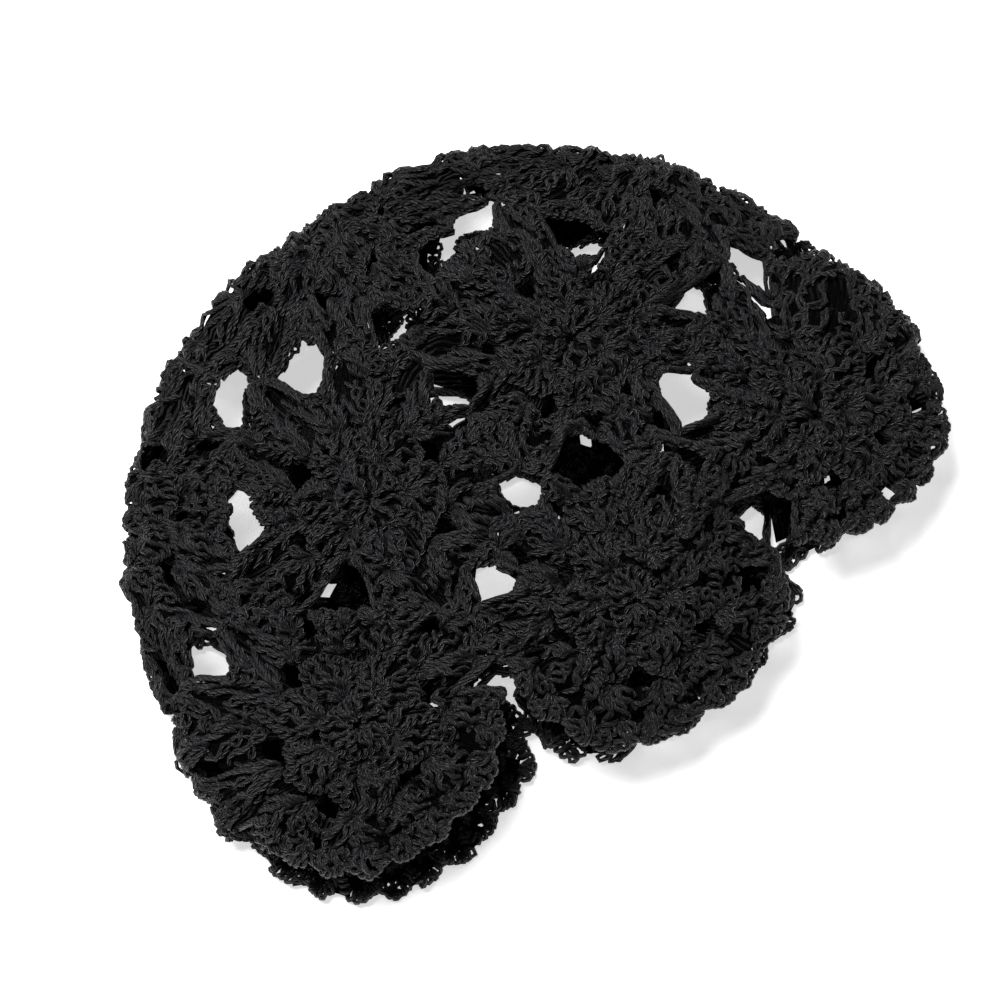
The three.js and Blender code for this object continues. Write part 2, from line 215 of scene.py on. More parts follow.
# How much stitches differ: a group's focus and height and a stitch's height and bow in millimetres, its
# lean in degrees, and its length, width and twist as shares
FOCUS_SCATTER = 0.5
GROUP_HEIGHT_SCATTER = 0.4
STITCH_HEIGHT_SCATTER = 0.25
BOW_SCATTER = 0.35
LEAN_SCATTER = 2.5
LENGTH_SCATTER = 0.06
WIDTH_SCATTER = 0.12
TWIST_SCATTER = 0.15

# The form of a stitch: how far from its focus it starts, the shares of its length where its crest starts
# and ends, the power by which its strands part, and their height for their width
STITCH_START = 0.6
CREST_START = 0.5
CREST_END = 0.6
PARTING_POWER = 0.7
FLATTENING = 0.85

# The form of an edge strand's coils: points to a coil, outward stretch, forward slant, and how much their
# size and lead differ
POINTS_PER_COIL = 8
COIL_STRETCH = 1.15
COIL_SLANT = 0.5
COIL_SIZE_SCATTER = 0.16
COIL_LEAD_SCATTER = 0.5

# The yarn's surface: bump of the plies, and bump and fineness of the fuzz
PLY_BUMP = 0.0005
FUZZ_BUMP = 0.0003
FUZZ_BUMP_STRENGTH = 0.8
FUZZ_SCALE = 3200
GLOSS = 0.45

# Floor and light
FLOOR_HALF = 3
FLOOR_GLOW = 0.58
SKY_STRENGTH = 0.2
LIGHT_PLACE = (-0.2, 0.55, 1.5)
LIGHT_SIZE = 0.8
LIGHT_ENERGY = 41

# Each motif's random draws start from its place in the list, counted from this seed
FIRST_SEED = 100

# The rounds of a flat motif: stitches in groups that spread from a focus. Lengths, heights and radii in
# millimetres, angles in degrees from straight outwards. Side drop is how much lower a group's outermost
# stitches lie than its middle one. A stitch is two strands that wind round its line, one turn in each
# twist length, at the first radius at its base and the second at its top. An edge strand coils along the
# tops of each group, once in each edge pitch and wider by the bead at every second stitch, but not in a
# round whose edge radius is 0.
ROUNDS = [
    {
        "groups": 12,
        "first": 15,
        "focus": 1.3,
        "spread": [0],
        "lengths": [8.6],
        "heights": {"focus": -1.5, "crest": 1.0, "edge": -0.7},
        "side_drop": 0,
        "twist": 7.5,
        "points_per_mm": 1,
        "radii": [0.35, 1.15],
        "edge_radius": 0.9,
        "edge_pitch": 2.1,
        "edge_bead": 0.2,
    },
    {
        "groups": 6,
        "first": 30,
        "focus": 10.4,
        "spread": [-73, -54, -33, -11, 11, 33, 54, 73],
        "lengths": [8.4, 10.9, 12.9, 14, 14, 12.9, 10.9, 8.4],
        "heights": {"focus": -2.5, "crest": 1.6, "edge": -0.8},
        "side_drop": 2,
        "twist": 5.6,
        "points_per_mm": 1.05,
        "radii": [0.3, 1.1],
        "edge_radius": 1.2,
        "edge_pitch": 1.9,
        "edge_bead": 0.3,
    },
    {
        "groups": 12,
        "first": 15,
        "focus": 25,
        "spread": [-72, -53, -32, -11, 11, 32, 53, 72],
        "lengths": [7, 9.6, 11.6, 12.4, 12.4, 11.6, 9.6, 7],
        "heights": {"focus": -3.2, "crest": 1.3, "edge": -0.6},
        "side_drop": 1.8,
        "twist": 5.6,
        "points_per_mm": 1,
        "radii": [0.35, 1.15],
        "edge_radius": 0,
    },
    {
        "groups": 24,
        "first": 7.5,
        "focus": 35.6,
        "spread": [-56, -28, 0, 28, 56],
        "lengths": [5.8, 7.6, 8.2, 7.6, 5.8],
        "heights": {"focus": -1.8, "crest": 1.7, "edge": 0},
        "side_drop": 1.6,
        "twist": 4.8,
        "points_per_mm": 1.15,
        "radii": [0.4, 1.2],
        "edge_radius": 1.3,
        "edge_pitch": 1.8,
        "edge_bead": 0.2,
    },
]


def outline_share(x, y):
    """0 on the beret's long axis, 1 on its plan outline."""
    half_width = HALF_WIDTH + BRIM_FLARE * smooth_step((FLARE_START_Y - y) / FLARE_RUN)
    across = np.abs((x - AXIS_X) / half_width) ** OUTLINE_POWER
    along = (np.maximum(y - SIDE_LINE_Y, 0) / CROWN_REACH) ** OUTLINE_POWER
    return (across + along) ** (1 / OUTLINE_POWER)


def smooth_step(t):
    s = np.clip(t, 0, 1)
    return s * s * (3 - 2 * s)


def upper_rise(x, y):
    """How far the upper layer rises above the fold."""
    down = np.maximum(BRIM_DROOP_START_Y - y, 0) / BRIM_DROOP_RUN
    droop = np.minimum(BRIM_DROOP * down * down, BRIM_DROOP)
    for hollow in HOLLOWS:
        away = np.hypot(x - hollow["x"], y - hollow["y"]) / hollow["radius"]
        droop = droop + (1 - droop) * hollow["depth"] * smooth_step(1 - away)
    return UPPER_RISE * (1 - droop)


def outside(p):
    """Negative inside the mid surface, zero on it, positive outside."""
    x, y, z = p[..., 0], p[..., 1], p[..., 2]
    share = outline_share(x, y)
    up = (z - FOLD_HEIGHT) / upper_rise(x, y)
    turn = np.maximum(1 - ((1 - share) * HALF_WIDTH) / LOWER_TURN, 0)
    down = (FOLD_HEIGHT - z) / LOWER_DROP
    return np.where(z >= FOLD_HEIGHT, share * share + up * up, turn * turn + down * down) - 1


def slope(p):
    result = np.empty_like(p)
    for axis in range(3):
        shift = np.zeros(3)
        shift[axis] = SLOPE_STEP
        result[..., axis] = (outside(p + shift) - outside(p - shift)) / (2 * SLOPE_STEP)
    return result


def unit(v):
    return v / np.linalg.norm(v, axis=-1, keepdims=True)


def dot(a, b):
    return (a * b).sum(-1)


def settle(p):
    """Moves points near the mid surface onto it."""
    for _ in range(SETTLE_ROUNDS):
        steep = slope(p)
        p = p - steep * (outside(p) / dot(steep, steep))[..., None]
    return p


def centre_of(row):
    """The point of the mid surface where a motif's centre lies."""
    x, y = row["x"], row["y"]
    share = outline_share(x, y)
    if row["layer"] == "fold":
        y = SIDE_LINE_Y + (y - SIDE_LINE_Y) / share
        start = (x / share, y, FOLD_HEIGHT)
    elif row["layer"] == "lower":
        start = (x, y, FOLD_HEIGHT - LOWER_DROP)
    else:
        start = (x, y, FOLD_HEIGHT + upper_rise(x, y) * math.sqrt(1 - share * share))
    return settle(settle(np.array(start, float)))


def compass(centre):
    """East and north in the fabric at a motif's centre, as seen from outside."""
    outward = unit(slope(centre))
    guide = np.array([0.0, 1, 0]) if abs(outward[1]) < MOST_Y_FOR_NORTH else np.array([0.0, 0, 1])
    north = unit(guide - outward * guide.dot(outward))
    return np.cross(north, outward), north


def walk_all(centres, compasses):
    """Straight ways over the fabric in all directions from every centre: places, headings, normals."""
    angles = np.arange(DIRECTIONS) / DIRECTIONS * 2 * math.pi
    east = np.array([c[0] for c in compasses])[:, None]
    north = np.array([c[1] for c in compasses])[:, None]
    heading = east * np.cos(angles)[None, :, None] + north * np.sin(angles)[None, :, None]
    place = np.repeat(np.array(centres)[:, None], DIRECTIONS, 1)
    stops = [(place, heading, unit(slope(place)))]
    for _ in range(STEPS):
        place = settle(place + heading * STEP)
        normal = unit(slope(place))
        heading = unit(heading - normal * dot(heading, normal)[..., None])
        stops.append((place, heading, normal))
    return [np.stack(kind, 2) for kind in zip(*stops)]


def find_seams(centres, compasses, places, headings):
    """The seams of each motif: angle, distance, and a plane half way to the neighbour."""
    seams = [[] for _ in centres]
    for a in range(len(centres)):
        for b in range(a + 1, len(centres)):
            miss = np.linalg.norm(places[a] - centres[b], axis=-1)
            direction, step = np.unravel_index(miss.argmin(), miss.shape)
            rest = (centres[b] - places[a, direction, step]).dot(headings[a, direction, step])
            length = step * STEP + rest
            if miss.min() > SEAM_MISS or length > JOIN_REACH:
                continue
            half = round(length / 2 / STEP)
            middle, across = places[a, direction, half], headings[a, direction, half]
            middle = middle + across * (length / 2 - half * STEP)
            arrival = headings[a, direction, step]
            east, north = compasses[b]
            back = math.atan2(-arrival.dot(north), -arrival.dot(east)) % (2 * math.pi)
            angle = direction / DIRECTIONS * 2 * math.pi
            seams[a].append({"angle": angle, "away": length / 2, "place": middle, "across": across})
            seams[b].append({"angle": back, "away": length / 2, "place": middle, "across": -across})
    for found in seams:
        found.sort(key=lambda seam: seam["angle"])
    return seams


def reach_to_seam(seam, places, normals):
    """In each direction from a motif's centre, how far it is to one seam, or infinity."""
    angles = np.arange(DIRECTIONS) / DIRECTIONS * 2 * math.pi
    tilt = np.abs(normals @ seam["across"]) * (WALL / 2)
    past = (places - seam["place"]) @ seam["across"] + tilt + SEAM_GAP / 2
    distance = np.arange(places.shape[1]) * STEP
    meets = (past > 0) & (distance > SEAM_START_SHARE * seam["away"])
    meets &= (np.cos(angles - seam["angle"]) > math.cos(SEAM_SECTOR))[:, None]
    first = meets.argmax(1)
    rows = np.arange(DIRECTIONS)
    over, under = past[rows, first], past[rows, np.maximum(first - 1, 0)]
    part = np.clip(over / np.maximum(over - under, 1e-6), 0, 1)
    return np.where(meets.any(1), (first - part) * STEP, np.inf)


def share_lobes(spans):
    """How many of the lobes lie in each span from one seam to the next: at least the fewest."""
    wanted = [span / (2 * math.pi) * LOBES for span in spans]
    counts = [max(FEWEST_LOBES, math.floor(want)) for want in wanted]
    while sum(counts) < LOBES:
        most = max(range(len(spans)), key=lambda i: wanted[i] - counts[i])
        counts[most] += 1
    while sum(counts) > LOBES:
        spare = [i for i in range(len(spans)) if counts[i] > FEWEST_LOBES]
        least = min(spare, key=lambda i: wanted[i] - counts[i])
        counts[least] -= 1
    return counts


def reach_to_gaps(places):
    """In each direction from a motif's centre, how far it is to the first gap, or infinity."""
    reach = np.full(DIRECTIONS, np.inf)
    upper = places[..., 2] > FOLD_HEIGHT
    for gap in GAPS:
        turn = math.radians(gap["turn"])
        x, y = places[..., 0] - gap["x"], places[..., 1] - gap["y"]
        lengthwise = (x * math.cos(turn) + y * math.sin(turn)) / gap["long"]
        crosswise = (y * math.cos(turn) - x * math.sin(turn)) / gap["wide"]
        within = (np.hypot(lengthwise, crosswise) < 1) & (upper == (gap["layer"] == "upper"))
        first = np.where(within.any(1), (within.argmax(1) - 0.5) * STEP, np.inf)
        reach = np.minimum(reach, first)
    return reach


def spans_between(seams):
    """The angle from each seam of a motif to the next."""
    angles = np.array([seam["angle"] for seam in seams])
    return (np.roll(angles, -1) - angles) % (2 * math.pi)


def lay_lobes(seams):
    """Real angle at each valley and tip of a motif, in step with the flat motif's angles."""
    spans = spans_between(seams)
    angles = []
    for seam, span, count in zip(seams, spans, share_lobes(spans)):
        half = span / count / 2
        angles += [seam["angle"] + step * half for step in range(2 * count)]
    return np.array(angles)


def free_reach(row, way):
    """How far a brim motif's lobes reach in directions where nothing joins them."""
    left, deep, right = row["free"]
    across = np.abs(way[:, 0] / np.where(way[:, 0] < 0, left, right)) ** RIM_POWER
    along = np.abs(way[:, 1] / deep) ** RIM_POWER
    return (across + along) ** (-1 / RIM_POWER)


def valley_share(turn):
    """0 over most of each of the twelve lobes, and 1 at the valleys between them."""
    place = (turn / (2 * math.pi) * LOBES) % 1 * 2 - 1
    return np.abs(place) ** LOBE_ROUNDNESS


def flat_rim(turn):
    """How far the flat motif's rim lies from its centre in a direction."""
    return FLAT_REACH - VALLEY_DEPTH * valley_share(turn)


# A pattern is a set of strands in a flat motif: x, y and height of every point, all in millimetres.
def stitch_ends(row, rng):
    """Base, top and sinking of each stitch of a round: one line to a group, one column to a stitch."""
    groups, stitches = row["groups"], len(row["spread"])
    turn = np.radians(row["first"] + 360 / groups * np.arange(groups))[:, None]
    outward = np.stack([np.cos(turn), np.sin(turn)], -1)
    sideways = np.stack([-outward[..., 1], outward[..., 0]], -1)
    focus = outward * row["focus"] + rng.normal(0, FOCUS_SCATTER, (groups, 1, 2))
    lean = np.radians(np.array(row["spread"]) + rng.normal(0, LEAN_SCATTER, (groups, stitches)))[..., None]
    reach = (np.array(row["lengths"]) * rng.normal(1, LENGTH_SCATTER, (groups, stitches)))[..., None]
    way = outward * np.cos(lean) + sideways * np.sin(lean)
    share = np.array(row["spread"]) / max(row["spread"][-1], 1)
    group_scatter = rng.normal(0, GROUP_HEIGHT_SCATTER, (groups, 1))
    stitch_scatter = rng.normal(0, STITCH_HEIGHT_SCATTER, (groups, stitches))
    drops = row["side_drop"] * share**2 + group_scatter + stitch_scatter
    return focus + way * STITCH_START, focus + way * reach, drops


def arch(t, heights, drops):
    """Height along a stitch: up from its focus, over a crest, and down to the round's edge."""
    rise = smooth_step(t / CREST_START)
    fall = smooth_step((t - CREST_END) / (1 - CREST_END))
    climb = heights["focus"] + (heights["crest"] - heights["focus"]) * rise
    return climb + (heights["edge"] - heights["crest"]) * fall - drops * smooth_step(t)


def strand_points(flat, height):
    return np.concatenate([flat, height[..., None]], -1)


def wobble(distance, count, rng):
    """Small smooth waves along each of a number of strands: sideways and up."""
    waves = 0
    for _ in range(WOBBLE_WAVES):
        length = rng.uniform(SHORTEST_WOBBLE, LONGEST_WOBBLE, (count, 1, 2))
        start = rng.uniform(0, 2 * math.pi, (count, 1, 2))
        waves = waves + WOBBLE * np.sin(2 * math.pi * distance[..., None] / length + start)
    return waves[..., 0], waves[..., 1]


def posts(bases, tops, drops, row, rng):
    """Two strands that wind round each stitch's line."""
    way = tops - bases
    length = np.linalg.norm(way, axis=-1)
    along = unit(way)
    sideways = np.stack([-along[:, 1], along[:, 0]], 1)
    count = len(bases)
    t = np.linspace(0, 1, math.ceil(length.mean() * row["points_per_mm"]) + 2)[None, :]
    level = arch(t, row["heights"], drops[:, None])
    bow = rng.normal(0, BOW_SCATTER, (count, 1)) * np.sin(math.pi * t)
    low, high = row["radii"]
    wide = (low + (high - low) * t**PARTING_POWER) * rng.normal(1, WIDTH_SCATTER, (count, 1))
    begin = rng.uniform(0, 2 * math.pi, (count, 1))
    strands = []
    for side in (0, math.pi):
        hand = rng.choice([-1, 1], (count, 1))
        twist = row["twist"] * rng.normal(1, TWIST_SCATTER, (count, 1))
        angle = begin + side + hand * 2 * math.pi * t * length[:, None] / twist
        aside, lift = wobble(t * length[:, None], count, rng)
        off = (bow + aside + wide * np.cos(angle))[..., None] * sideways[:, None]
        flat = bases[:, None] + way[:, None] * t[..., None] + off
        strands.append(strand_points(flat, level + lift + FLATTENING * wide * np.sin(angle)))
    return np.concatenate(strands)


def edge_coils(tops, drops, row, rng):
    """One strand to a group of stitches, coiled along their tops, or one for a round of single stitches."""
    coils = []
    if len(row["spread"]) == 1:
        tops, drops = np.append(tops[:, 0], tops[:1, 0], 0)[None], np.append(drops[:, 0], drops[:1, 0])[None]
    for path, sinking in zip(tops, drops):
        steps = np.linalg.norm(np.diff(path, axis=0), axis=1)
        marks = np.append(0, steps.cumsum())
        coils.append((path, sinking, marks))
    turns = round(np.mean([marks[-1] for _, _, marks in coils]) / row["edge_pitch"])
    t = np.linspace(0, 1, turns * POINTS_PER_COIL + 1)
    strands = []
    for path, sinking, marks in coils:
        at = t * marks[-1]
        middle = np.stack([np.interp(at, marks, path[:, 0]), np.interp(at, marks, path[:, 1])], 1)
        along = unit(np.gradient(middle, axis=0))
        outward = np.stack([along[:, 1], -along[:, 0]], 1)
        stitch = np.interp(at, marks, np.arange(len(marks)))
        loops = np.arange(turns + 2)
        loose = np.interp(turns * t, loops, rng.normal(1, COIL_SIZE_SCATTER, len(loops)))
        size = (row["edge_radius"] - row["edge_bead"] * np.cos(math.pi * stitch)) * loose
        lead = np.interp(turns * t, loops, rng.normal(0, COIL_LEAD_SCATTER, len(loops)))
        angle = 2 * math.pi * turns * t + rng.uniform(0, 2 * math.pi) + lead
        aside = outward * (COIL_STRETCH * size * np.cos(angle))[:, None]
        ahead = along * (COIL_SLANT * np.sin(angle))[:, None]
        level = row["heights"]["edge"] - np.interp(at, marks, sinking)
        strands.append(strand_points(middle + aside + ahead, level + FLATTENING * size * np.sin(angle)))
    return np.array(strands)


def flat_motif(rng):
    """All strands of one motif laid flat, in groups of equally long strands."""
    groups = []
    for row in ROUNDS:
        bases, tops, drops = stitch_ends(row, rng)
        for stitch in range(len(row["spread"])):
            groups.append(posts(bases[:, stitch], tops[:, stitch], drops[:, stitch], row, rng))
        if row["edge_radius"] > 0:
            groups.append(edge_coils(tops, drops, row, rng))
    return groups


def flat_sheet(groups, reach):
    """Points of a sheet among the strands of a flat motif, on a polar grid, and which of them to keep."""
    points = np.concatenate([strands.reshape(-1, 3) for strands in groups])
    tree = KDTree(len(points))
    for index, (x, y, _) in enumerate(points):
        tree.insert((x, y, 0), index)
    tree.balance()
    radius = (np.arange(SHEET_RINGS) + 0.5)[:, None] * SHEET_PITCH
    turn = np.arange(SHEET_DIRECTIONS + 1)[None, :] / SHEET_DIRECTIONS * 2 * math.pi
    x, y = radius * np.cos(turn), radius * np.sin(turn)
    height = np.full(x.shape, np.nan)
    for place in np.ndindex(x.shape):
        near = [index for _, index, _ in tree.find_range((x[place], y[place], 0), reach)]
        if near and math.hypot(x[place], y[place]) < flat_rim(turn[0, place[1]]) - SHEET_MARGIN:
            height[place] = points[near, 2].mean() - SHEET_SINK
    kept = ~np.isnan(height)
    return strand_points(np.stack([x, y], -1), np.where(kept, height, 0)), kept


class Unevenness:
    """Smooth random bends of a flat motif's plan and height."""

    def __init__(self, rng):
        length = rng.uniform(SHORTEST_WAVE, LONGEST_WAVE, (3, WAVES))
        turn = rng.uniform(0, 2 * math.pi, (3, WAVES))
        self.x = 2 * math.pi / length * np.cos(turn)
        self.y = 2 * math.pi / length * np.sin(turn)
        self.start = rng.uniform(0, 2 * math.pi, (3, WAVES))

    def bend(self, strands):
        x, y = strands[..., 0, None, None], strands[..., 1, None, None]
        waves = np.sin(self.x * x + self.y * y + self.start).sum(-1) / math.sqrt(WAVES / 2)
        return strands + waves * np.array([SIDE_WAVE, SIDE_WAVE, HEIGHT_WAVE])


def look_up(table, direction, step):
    """Values between the stops of the straight ways."""
    way = np.floor(direction).astype(int) % DIRECTIONS
    next_way = (way + 1) % DIRECTIONS
    stop = np.clip(np.floor(step).astype(int), 0, table.shape[1] - 2)
    turned = (direction - np.floor(direction))[..., None]
    walked = (step - stop)[..., None]
    near = table[way, stop] * (1 - turned) + table[next_way, stop] * turned
    far = table[way, stop + 1] * (1 - turned) + table[next_way, stop + 1] * turned
    return near * (1 - walked) + far * walked


class Fabric:
    """The ground of one motif: carries points of the flat motif onto the beret."""

    def __init__(self, row, seams, places, normals, rng):
        self.places = places
        self.normals = normals
        self.limit = np.minimum.reduce([reach_to_seam(seam, places, normals) for seam in seams])
        self.lobe_angles = lay_lobes(seams)
        directions = np.arange(DIRECTIONS) / DIRECTIONS * 2 * math.pi
        first = self.lobe_angles[0]
        flat_turn = np.interp((directions - first) % (2 * math.pi) + first, *self.angle_knots())
        rim = np.full(DIRECTIONS, float(STRETCH_LIMIT))
        for seam, span in zip(seams, spans_between(seams)):
            if span > BRIM_SPAN:
                free = (directions - seam["angle"]) % (2 * math.pi) < span
                way = unit(places[free, 1] - places[free, 0])
                rim[free] = free_reach(row, way) * (1 - SCALLOP_SHARE * valley_share(flat_turn[free]))
        rim = np.minimum.reduce([rim, self.limit + SEAM_PRESS, reach_to_gaps(places)])
        ring = [np.roll(rim, shift) for shift in range(-RIM_SMOOTHING, RIM_SMOOTHING + 1)]
        self.rim = np.mean(ring, 0)
        sets = (OVERLAP_WAVE_SETS, 1)
        waves = rng.uniform(OVERLAP_WAVES / 2, OVERLAP_WAVES, sets).round() * directions
        ripple = np.sin(waves + rng.uniform(0, 2 * math.pi, sets)).mean(0)
        self.overlap = SEAM_OVERLAP + OVERLAP_RIPPLE * ripple

    def angle_knots(self):
        """Real angles of the valleys and tips, and the flat motif's angles of the same."""
        flat = np.arange(2 * LOBES + 1) / (2 * LOBES) * 2 * math.pi
        return np.append(self.lobe_angles, self.lobe_angles[0] + 2 * math.pi), flat

    def real_polar(self, x, y):
        """Distance and angle on the fabric of points of the flat motif."""
        radius = np.hypot(x, y)
        turn = np.arctan2(y, x) % (2 * math.pi)
        real, flat = self.angle_knots()
        angle = np.interp(turn, flat, real)
        direction = angle / (2 * math.pi) * DIRECTIONS
        rim = np.interp(direction % DIRECTIONS, np.arange(DIRECTIONS + 1), np.append(self.rim, self.rim[0]))
        drawn = smooth_step((radius - STRETCH_START) / STRETCH_RUN)
        return radius * (1 + (rim / flat_rim(turn) - 1) * drawn), angle

    def carry(self, strands):
        """Points and normals on the beret of flat strands."""
        radius, angle = self.real_polar(strands[..., 0], strands[..., 1])
        direction = (angle / (2 * math.pi) * DIRECTIONS) % DIRECTIONS
        nearest = np.round(direction).astype(int) % DIRECTIONS
        ends = np.minimum(self.limit + self.overlap, self.rim + RIM_OVERSHOOT)
        edge = ends[nearest] - SOFT_EDGE
        over = np.maximum(radius - edge, 0)
        radius = np.where(over > 0, edge + SOFT_EDGE * (1 - np.exp(-over / SOFT_EDGE)), radius)
        place = look_up(self.places, direction, radius / STEP)
        normal = unit(look_up(self.normals, direction, radius / STEP))
        return place + normal * strands[..., 2:3], normal


def tubes(place, normal):
    """Rings of points round strands, one ring at each of their points."""
    tangent = unit(np.gradient(place, axis=1))
    side = unit(np.cross(tangent, normal))
    up = np.cross(side, tangent)
    turn = np.arange(TUBE_SIDES) / TUBE_SIDES * 2 * math.pi
    ring = side[:, :, None] * np.cos(turn)[:, None] + up[:, :, None] * np.sin(turn)[:, None]
    return place[:, :, None] + ring * YARN_RADIUS


class YarnMesh:
    """Collects a sheet and tubes, and makes one mesh of them."""

    def __init__(self):
        self.vertices, self.quads, self.caps = [], [], []
        self.quad_uvs, self.tones = [], []
        self.count = 0

    def add(self, rings, tones):
        strands, points, sides = rings.shape[:3]
        index = self.count + np.arange(strands * points * sides).reshape(strands, points, sides)
        after = np.roll(index, -1, 2)
        quads = np.stack([index[:, :-1], after[:, :-1], after[:, 1:], index[:, 1:]], -1)
        self.quads.append(quads.reshape(-1, 4))
        self.caps.append(index[:, 0, ::-1].reshape(-1, sides))
        self.caps.append(index[:, -1].reshape(-1, sides))
        self.vertices.append(rings.reshape(-1, 3))
        step = np.linalg.norm(np.diff(rings.mean(2), axis=1), axis=-1)
        along = np.concatenate([np.zeros((strands, 1)), step.cumsum(1)], 1)
        u = np.arange(sides + 1) / sides
        corner_u = np.broadcast_to(np.stack([u[:-1], u[1:], u[1:], u[:-1]], -1), quads.shape)
        low, high = along[:, :-1, None], along[:, 1:, None]
        corner_v = np.stack(np.broadcast_arrays(low, low, high, high), -1)
        corner_v = np.broadcast_to(corner_v, quads.shape)
        self.quad_uvs.append(np.stack([corner_u, corner_v], -1).reshape(-1, 2))
        self.tones.append(np.repeat(tones, points * sides))
        self.count += strands * points * sides

    def add_sheet(self, place, kept):
        rings, turns = kept.shape
        index = self.count + np.arange(rings * turns).reshape(rings, turns)
        quads = np.stack([index[:-1, :-1], index[1:, :-1], index[1:, 1:], index[:-1, 1:]], -1)
        whole = kept[:-1, :-1] & kept[1:, :-1] & kept[1:, 1:] & kept[:-1, 1:]
        self.quads.append(quads[whole])
        ribs = np.arange(turns) / (turns - 1) * SHEET_RIBS / PLIES
        uv = np.stack(np.broadcast_arrays(ribs[None, :], np.zeros((rings, 1))), -1).reshape(-1, 2)
        self.quad_uvs.append(uv[quads[whole] - self.count].reshape(-1, 2))
        self.vertices.append(place.reshape(-1, 3))
        # The sheet gets a tone darker than any strand: painted shade between the strands
        self.tones.append(np.full(rings * turns, SHEET_SHADE_TONE))
        self.count += rings * turns

    def build(self, name):
        vertices = np.concatenate(self.vertices) * MM
        quads, caps = np.concatenate(self.quads), np.concatenate(self.caps)
        sides = caps.shape[1]
        corners = np.concatenate([quads.ravel(), caps.ravel()])
        totals = np.concatenate([np.full(len(quads), 4), np.full(len(caps), sides)])
        mesh = bpy.data.meshes.new(name)
        mesh.vertices.add(len(vertices))
        mesh.vertices.foreach_set("co", vertices.astype(np.float32).ravel())
        mesh.loops.add(len(corners))
        mesh.loops.foreach_set("vertex_index", corners.astype(np.int32))
        mesh.polygons.add(len(totals))
        mesh.polygons.foreach_set("loop_start", (np.cumsum(totals) - totals).astype(np.int32))
        mesh.update(calc_edges=True)
        mesh.shade_smooth()
        layer = mesh.uv_layers.new(name="yarn", do_init=False)
        uvs = np.concatenate([np.concatenate(self.quad_uvs), np.zeros((caps.size, 2))])
        layer.uv.foreach_set("vector", uvs.astype(np.float32).ravel())
        tone = mesh.attributes.new("tone", "FLOAT", "POINT")
        tone.data.foreach_set("value", np.concatenate(self.tones).astype(np.float32))
        mesh.validate()
        return mesh


def math_node(nodes, operation, *values):
    node = nodes.new("ShaderNodeMath")
    node.operation = operation
    for socket, value in zip(node.inputs, values):
        socket.default_value = value
    return node


def bump_node(nodes, strength, distance):
    node = nodes.new("ShaderNodeBump")
    node.inputs["Strength"].default_value = strength
    node.inputs["Distance"].default_value = distance
    return node


def yarn_material():
    """Near-black cotton: turning plies, fine fuzz, and strands that differ. The sheet is painted shade:
    darker than any strand, and without gloss.
    """
    material = bpy.data.materials.new("black_cotton_yarn")
    material.use_nodes = True
    nodes, links = material.node_tree.nodes, material.node_tree.links
    shader = nodes["Principled BSDF"]
    shader.inputs["Roughness"].default_value = 0.44
    shader.inputs["Sheen Weight"].default_value = 0.05
    shader.inputs["Sheen Roughness"].default_value = 0.4
    shader.inputs["Sheen Tint"].default_value = (0.75, 0.75, 0.85, 1)

    tone = nodes.new("ShaderNodeAttribute")
    tone.attribute_name = "tone"
    ramp = nodes.new("ShaderNodeValToRGB")
    # The ramp's low end, below the darkest strand's tone, is near black: the sheet's painted shade
    ramp.color_ramp.elements[0].color = (0.0004, 0.0004, 0.0004, 1)
    ramp.color_ramp.elements[1].color = (0.0065, 0.0065, 0.0085, 1)
    dark = ramp.color_ramp.elements.new(DARKEST_STRAND)
    dark.color = (0.0016, 0.0016, 0.0014, 1)
    # Only tones above half the darkest strand's get gloss, so the sheet's painted shade stays dull
    gloss = math_node(nodes, "GREATER_THAN", 0, DARKEST_STRAND / 2)
    links.new(tone.outputs["Fac"], gloss.inputs[0])
    level = math_node(nodes, "MULTIPLY", 0, GLOSS)
    links.new(gloss.outputs[0], level.inputs[0])
    links.new(level.outputs[0], shader.inputs["Specular IOR Level"])
    links.new(tone.outputs["Fac"], ramp.inputs["Fac"])
    links.new(ramp.outputs["Color"], shader.inputs["Base Color"])

    uv = nodes.new("ShaderNodeUVMap")
    uv.uv_map = "yarn"
    parts = nodes.new("ShaderNodeSeparateXYZ")
    links.new(uv.outputs["UV"], parts.inputs["Vector"])
    around = math_node(nodes, "MULTIPLY", 0, 2 * math.pi * PLIES)
    links.new(parts.outputs["X"], around.inputs[0])
    along = math_node(nodes, "MULTIPLY", 0, 2 * math.pi * PLIES / PLY_TURN)
    links.new(parts.outputs["Y"], along.inputs[0])
    phase = math_node(nodes, "ADD")
    links.new(around.outputs[0], phase.inputs[0])
    links.new(along.outputs[0], phase.inputs[1])
    plies = math_node(nodes, "SINE")
    links.new(phase.outputs[0], plies.inputs[0])

    place = nodes.new("ShaderNodeTexCoord")
    fuzz = nodes.new("ShaderNodeTexNoise")
    fuzz.inputs["Scale"].default_value = FUZZ_SCALE
    fuzz.inputs["Detail"].default_value = 3
    links.new(place.outputs["Object"], fuzz.inputs["Vector"])
    ply_bump = bump_node(nodes, 1, PLY_BUMP)
    links.new(plies.outputs[0], ply_bump.inputs["Height"])
    fuzz_bump = bump_node(nodes, FUZZ_BUMP_STRENGTH, FUZZ_BUMP)
    links.new(fuzz.outputs["Fac"], fuzz_bump.inputs["Height"])
    links.new(ply_bump.outputs["Normal"], fuzz_bump.inputs["Normal"])
    links.new(fuzz_bump.outputs["Normal"], shader.inputs["Normal"])
    return material


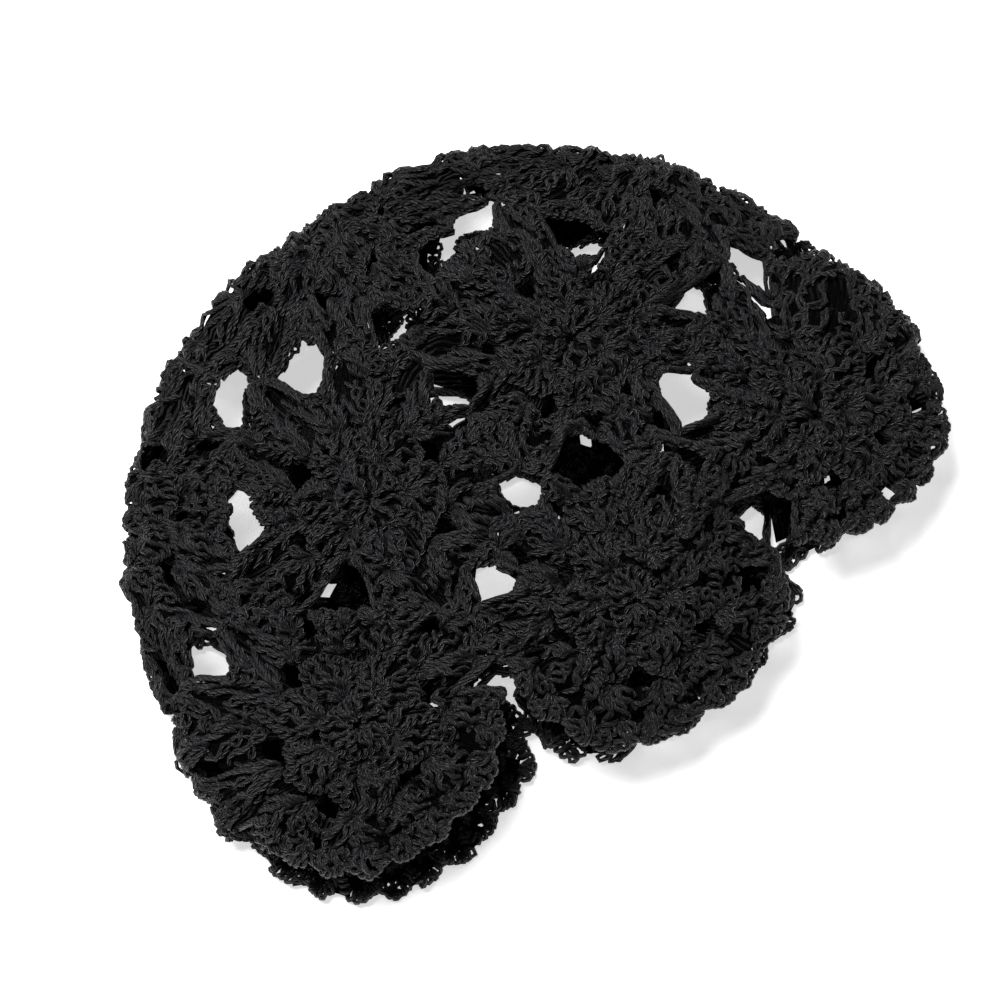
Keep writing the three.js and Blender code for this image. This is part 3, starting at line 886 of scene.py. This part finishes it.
def crochet_all(material):
    """Works every motif, and puts it in the place of its solid."""
    centres = [centre_of(row) for row in MOTIFS]
    compasses = [compass(centre) for centre in centres]
    places, headings, normals = walk_all(centres, compasses)
    seams = find_seams(centres, compasses, places, headings)
    middle = np.array([MIDDLE_X, MIDDLE_Y, 0])
    for index, row in enumerate(MOTIFS):
        rng = np.random.default_rng(FIRST_SEED + index)
        fabric = Fabric(row, seams[index], places[index], normals[index], rng)
        yarn = YarnMesh()
        uneven = Unevenness(rng)
        groups = flat_motif(rng)
        sheet, kept = flat_sheet(groups, SHEET_REACH[row["layer"]])
        place, _ = fabric.carry(uneven.bend(sheet))
        yarn.add_sheet(place - middle, kept)
        for strands in groups:
            place, normal = fabric.carry(uneven.bend(strands))
            place[..., 2] = np.maximum(place[..., 2], YARN_RADIUS)
            yarn.add(tubes(place - middle, normal), rng.uniform(DARKEST_STRAND, 1, len(place)))
        piece = bpy.data.objects.new(row["name"] + "_yarn", yarn.build(row["name"] + "_yarn"))
        bpy.context.scene.collection.objects.link(piece)
        piece.data.materials.append(material)
        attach(piece, "root")
        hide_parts(row["name"])


def floor_material():
    material = bpy.data.materials.new("pale_floor")
    material.use_nodes = True
    shader = material.node_tree.nodes["Principled BSDF"]
    shader.inputs["Base Color"].default_value = (0.85, 0.85, 0.85, 1)
    shader.inputs["Roughness"].default_value = 0.9
    shader.inputs["Emission Color"].default_value = (1, 1, 1, 1)
    shader.inputs["Emission Strength"].default_value = FLOOR_GLOW
    return material


def lay_floor():
    mesh = bpy.data.meshes.new("floor")
    half = FLOOR_HALF
    corners = [(-half, -half, 0), (half, -half, 0), (half, half, 0), (-half, half, 0)]
    mesh.from_pydata(corners, [], [(0, 1, 2, 3)])
    floor = bpy.data.objects.new("floor", mesh)
    floor.data.materials.append(floor_material())
    bpy.context.scene.collection.objects.link(floor)


def add_area_light(name, place, size, energy):
    light = bpy.data.lights.new(name, "AREA")
    light.shape = "DISK"
    light.size = size
    light.energy = energy
    lamp = bpy.data.objects.new(name, light)
    lamp.location = place
    lamp.rotation_euler = (-Vector(place)).to_track_quat("-Z", "Y").to_euler()
    bpy.context.scene.collection.objects.link(lamp)


def light_studio():
    world = bpy.data.worlds.new("studio")
    world.use_nodes = True
    world.node_tree.nodes["Background"].inputs["Color"].default_value = (1, 1, 1, 1)
    world.node_tree.nodes["Background"].inputs["Strength"].default_value = SKY_STRENGTH
    bpy.context.scene.world = world
    add_area_light("main_light", LIGHT_PLACE, LIGHT_SIZE, LIGHT_ENERGY)
    bpy.context.scene.view_settings.view_transform = "Standard"


def place_camera():
    camera = bpy.data.cameras.new("camera")
    camera.lens = CAMERA_LENS
    camera.sensor_width = 36
    back = Vector(
        (
            math.sin(CAMERA_AZIMUTH) * math.cos(CAMERA_ELEVATION),
            -math.cos(CAMERA_AZIMUTH) * math.cos(CAMERA_ELEVATION),
            math.sin(CAMERA_ELEVATION),
        )
    )
    holder = bpy.data.objects.new("camera", camera)
    holder.location = CAMERA_AIM + back * CAMERA_DISTANCE
    holder.rotation_euler = (-back).to_track_quat("-Z", "Y").to_euler()
    bpy.context.scene.collection.objects.link(holder)
    bpy.context.scene.camera = holder


place_camera()
lay_floor()
light_studio()
crochet_all(yarn_material())
